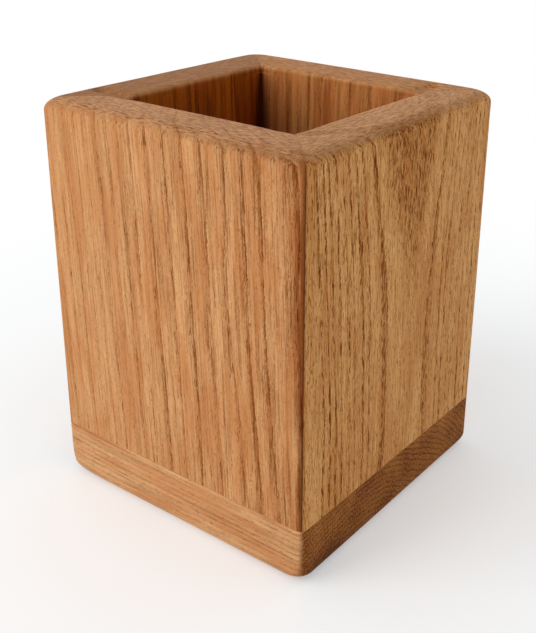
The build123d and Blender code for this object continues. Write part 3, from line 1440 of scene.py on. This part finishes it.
@dataclass
class Stage:
    """The plain pale floor, the soft studio light and the camera.

    Attributes:
        floor_half: half of the floor's side in metres.
        floor_lines: grid lines each way across the floor.
        fade_start: the distance in metres from the holder's middle at which the floor starts to fade.
        fade_end: the distance at which it is as white as the background.
        floor_lift: the light that brightens the floor for the camera.
        air: the strength of the light from all round.
        lamp_place: where the lamp hangs, in metres.
        lamp_size: its side in metres.
        lamp_power: its power in watts.
        camera_place: where the camera stands, in metres.
        camera_angles: its azimuth from the front, its elevation and its roll in degrees.
        focal_length: of its lens, in millimetres where the frame's longer side is 36 mm.
        lens_shift: how far the frame is moved across and up, as shares of its longer side.
    """

    floor_half: float = 3.0
    floor_lines: int = 25
    fade_start: float = 0.06
    fade_end: float = 0.24
    floor_lift: float = 0.3
    air: float = 0.6
    lamp_place: tuple[float, float, float] = (-0.5, -0.8, 0.5)
    lamp_size: float = 0.7
    lamp_power: float = 4.0
    camera_place: tuple[float, float, float] = (0.149432, -0.186911, 0.157692)
    camera_angles: tuple[float, float, float] = (35.652, 21.726, 1.149)
    focal_length: float = 56.037
    lens_shift: tuple[float, float] = (-0.0861, -0.1041)

    def build_floor(self) -> None:
        """A pale floor that keeps the holder's shadow and runs out into the white background."""
        grid = np.linspace(-self.floor_half, self.floor_half, self.floor_lines)
        x, y = np.meshgrid(grid, grid)
        faces = grid_faces(self.floor_lines, self.floor_lines, False, False)
        floor = mesh_object("studio_floor", np.stack([x, y, 0 * x], axis=-1), faces.tolist())
        material = new_material("painted_floor_matt_white")
        tree = material.node_tree
        place = add_node(tree, "TexCoord")
        away = add_node(tree, "VectorMath", {0: place.outputs["Object"]}, operation="LENGTH")
        fade = add_node(tree, "MapRange", {
            "Value": away, "From Min": self.fade_start, "From Max": self.fade_end,
        }, interpolation_type="SMOOTHSTEP")
        paint = add_node(tree, "BsdfDiffuse", {"Color": srgb("eef2f4")})
        lift = add_node(tree, "Emission", {"Color": srgb("ffffff"), "Strength": self.floor_lift})
        lifted = add_node(tree, "AddShader", {0: paint, 1: lift})
        white = add_node(tree, "Emission", {"Color": srgb("ffffff"), "Strength": 1.0})
        seen = add_node(tree, "MixShader", {0: fade, 1: lifted, 2: white})
        both = add_node(tree, "MixShader", {0: seen_directly(tree), 1: paint, 2: seen})
        add_node(tree, "OutputMaterial", {"Surface": both})
        floor.data.materials.append(material)

    def build_world(self) -> None:
        """Soft light from all round, with a white background where the camera looks past the floor."""
        world = bpy.data.worlds.new("studio_air")
        bpy.context.scene.world = world
        world.use_nodes = True
        tree = world.node_tree
        tree.nodes.clear()
        air = add_node(tree, "Background", {"Color": srgb("ffffff"), "Strength": self.air})
        white = add_node(tree, "Background", {"Color": srgb("ffffff"), "Strength": 1.0})
        both = add_node(tree, "MixShader", {0: seen_directly(tree), 1: air, 2: white})
        add_node(tree, "OutputWorld", {"Surface": both})

    def build_lamp(self) -> None:
        """A square soft box that faces the middle of the holder."""
        lamp = bpy.data.lights.new("soft_box_left", "AREA")
        lamp.shape = "SQUARE"
        lamp.size = self.lamp_size
        lamp.energy = self.lamp_power
        lamp.color = srgb("fffdfb")[:3]
        holder = bpy.data.objects.new("soft_box_left", lamp)
        holder.location = self.lamp_place
        aim = Vector((0, 0, 0.05)) - Vector(self.lamp_place)
        holder.rotation_euler = aim.to_track_quat("-Z", "Y").to_euler()
        bpy.context.scene.collection.objects.link(holder)

    def build_camera(self) -> None:
        """Places the camera at the photograph's viewing angle.

        Its place, turn, lens and shift come from a fit to the holder's outline in a frame of 536 by 633
        pixels. The shift stands for a frame that was cut from a larger one.
        """
        azimuth, elevation, roll = (math.radians(angle) for angle in self.camera_angles)
        level = math.cos(elevation)
        back = Vector((math.sin(azimuth) * level, -math.cos(azimuth) * level, math.sin(elevation)))
        right = Vector((math.cos(azimuth), math.sin(azimuth), 0))
        up = back.cross(right)
        rolled_right = right * math.cos(roll) + up * math.sin(roll)
        rolled_up = up * math.cos(roll) - right * math.sin(roll)
        lens = bpy.data.cameras.new("studio_camera")
        lens.sensor_width = 36.0
        lens.lens = self.focal_length
        lens.shift_x, lens.shift_y = self.lens_shift
        lens.clip_start = 0.01
        camera = bpy.data.objects.new("studio_camera", lens)
        turn = Matrix((rolled_right, rolled_up, back)).transposed().to_4x4()
        camera.matrix_world = Matrix.Translation(self.camera_place) @ turn
        bpy.context.scene.collection.objects.link(camera)
        bpy.context.scene.camera = camera

    def build(self) -> None:
        """Builds the floor, the light and the camera."""
        self.build_floor()
        self.build_world()
        self.build_lamp()
        self.build_camera()
        bpy.context.scene.view_settings.view_transform = "Standard"


def main() -> None:
    """Builds the boards, the glue and the stage in order, and logs each piece."""
    logging.basicConfig(level=logging.INFO, format="%(name)s: %(message)s")
    shape = SandedShape.from_frame()
    front = OiledOak(
        "oiled_oak_front_board", (0, 0, 0),
        RingPattern(
            pith=(56.7, 20.0), lean=(-4.5, 0.0), reach=(40.0, 120.0),
            edges=(61.0, 64.1, 66.0, 68.4, 71.6, 74.8, 78.1, 81.7, 85.6),
        ),
        late="ecb078", pore="84420f", deep="fffaf2", line=0.8, pore_sides=(0.6, 1.06), pore_length=6.0,
        end_light="eab17f", end_dark="8e5122", end_years=0.05, end_speckle=0.62,
        streaks=(
            Streaks(0.22, 2.4, 0.38, 0.7, 0.3), Streaks(0.34, 13.0, 0.46, 0.68, 0.5),
            Streaks(1.2, 30.0, 0.44, 0.7, 0.3), Streaks(5.0, 70.0, 0.4, 0.68, 0.2),
            Streaks(5.0, 0.35, 0.48, 0.72, 0.07),
        ),
    )
    right = OiledOak(
        "oiled_oak_right_board", (0, 0, -90),
        RingPattern(
            pith=(3.2, -3.0), lean=(-3.0, 0.0), reach=(20.0, 70.0), even_width=1.75,
            edges=(32.0, 37.7, 39.9, 41.0, 42.6, 43.8, 45.7, 47.2, 48.7, 50.3, 57.0),
            slow_sway=0.15, quick_sway=0.25, slow_starts=((35.4, 0.12), (36.8, 0.4), (51.0, 0.45)),
            bow=5.5e-4,
        ),
        late="f4b876", early="904d12", pore="753400", warm="ca8449", deep="ffedb8",
        belt=0.45, belt_full=0.3, belt_tone=0.36, outer_belt=0.4, inner_fine=0.95, line=0.6,
        pore_sides=(1.05, 0.7), pore_length=3.6, pore_open=0.66, fine_open=0.32, fine_length=3.0,
        fine_depth=0.75, end_light="e6ae78", end_years=0.03, seed=5.2,
        streaks=(
            Streaks(0.22, 2.5, 0.38, 0.7, 0.28), Streaks(0.32, 9.0, 0.46, 0.68, 0.42),
            Streaks(1.2, 30.0, 0.44, 0.7, 0.16), Streaks(5.0, 70.0, 0.4, 0.68, 0.1),
        ),
    )
    back = OiledOak(
        "oiled_oak_back_board", (0, 0, 180),
        RingPattern(pith=(-20.0, 5.0), lean=(-1.5, 1.0), edges=(40.0,), reach=(20.0, 80.0), even_width=2.6),
        # The back board's inner face is multiplied only a little: a painted lit copy, where light falls into
        # the well.
        inside="f6e2ca", outside_tone=0.65, belt_tone=0.25, line=0.2, pore_open=0.32, fine_open=0.15,
        end_light="dca068", end_years=0.08, end_speckle=0.6, seed=9.1,
        streaks=(
            Streaks(0.3, 6.0, 0.42, 0.7, 0.25), Streaks(1.4, 30.0, 0.44, 0.66, 0.5),
            Streaks(4.0, 50.0, 0.4, 0.68, 0.3),
        ),
    )
    left = OiledOak(
        "oiled_oak_left_board", (0, 0, 90),
        RingPattern(pith=(30.0, 15.0), lean=(2.0, -1.0), edges=(40.0,), reach=(20.0, 110.0), even_width=2.3),
        # The left board's inner face is multiplied much darker: painted shade on a face that gets little
        # light.
        inside="c7923f", outside_tone=0.65, belt_tone=0.25, line=0.25, pore_open=0.36, fine_open=0.17,
        end_light="b98659", end_years=0.08, seed=14.3,
        streaks=(
            Streaks(0.3, 6.0, 0.42, 0.7, 0.3), Streaks(1.4, 30.0, 0.42, 0.64, 0.6),
            Streaks(4.0, 50.0, 0.4, 0.65, 0.4),
        ),
    )
    base = OiledOak(
        "oiled_oak_base_board", (0, 90, 0),
        RingPattern(
            pith=(-53.4, -20.0), lean=(0.0, 0.0), edges=(50.0,), reach=(30.0, 110.0), even_width=1.4,
            slow_sway=1.1, quick_sway=0.34,
        ),
        late="f0b882", pore="84420f", belt_tone=0.3, line=0.2, pore_open=0.3,
        end_light="dd9444", end_dark="632903", end_years=0.21, end_speckle=0.5, end_spots=(0.4, 0.4, 1.5),
        end_patches=0.75, end_pores=0.1, end_oiled=0.45, seed=21.7,
        streaks=(
            Streaks(0.22, 1.4, 0.38, 0.7, 0.16), Streaks(0.32, 6.0, 0.46, 0.68, 0.2),
            Streaks(1.2, 24.0, 0.44, 0.7, 0.25), Streaks(5.0, 50.0, 0.4, 0.68, 0.2),
        ),
    )
    walls = [
        WallBoard(Side.FRONT, shape, "wall_front", front, soaked_end=0.95, soaked_rim=(0.12, 0.4)),
        WallBoard(Side.RIGHT, shape, "wall_right", right, soaked_rim=(0.3, 0.22)),
        WallBoard(Side.BACK, shape, "wall_back", back),
        WallBoard(Side.LEFT, shape, "wall_left", left),
    ]
    for wall in walls:
        wall.build()
    glue = DriedGlue()
    corners = ("front_right", "back_right", "back_left", "front_left")
    for number, corner in enumerate(corners):
        MitreGlue(walls[number], walls[(number + 1) % 4], "mitre_glue_" + corner, glue).build()
    plan = RoundPlan(shape)
    BaseBoard(plan, "base_board", base).build()
    BaseGlue(plan, "base_glue", glue).build()
    Stage().build()


if __name__ == "__main__":
    main()
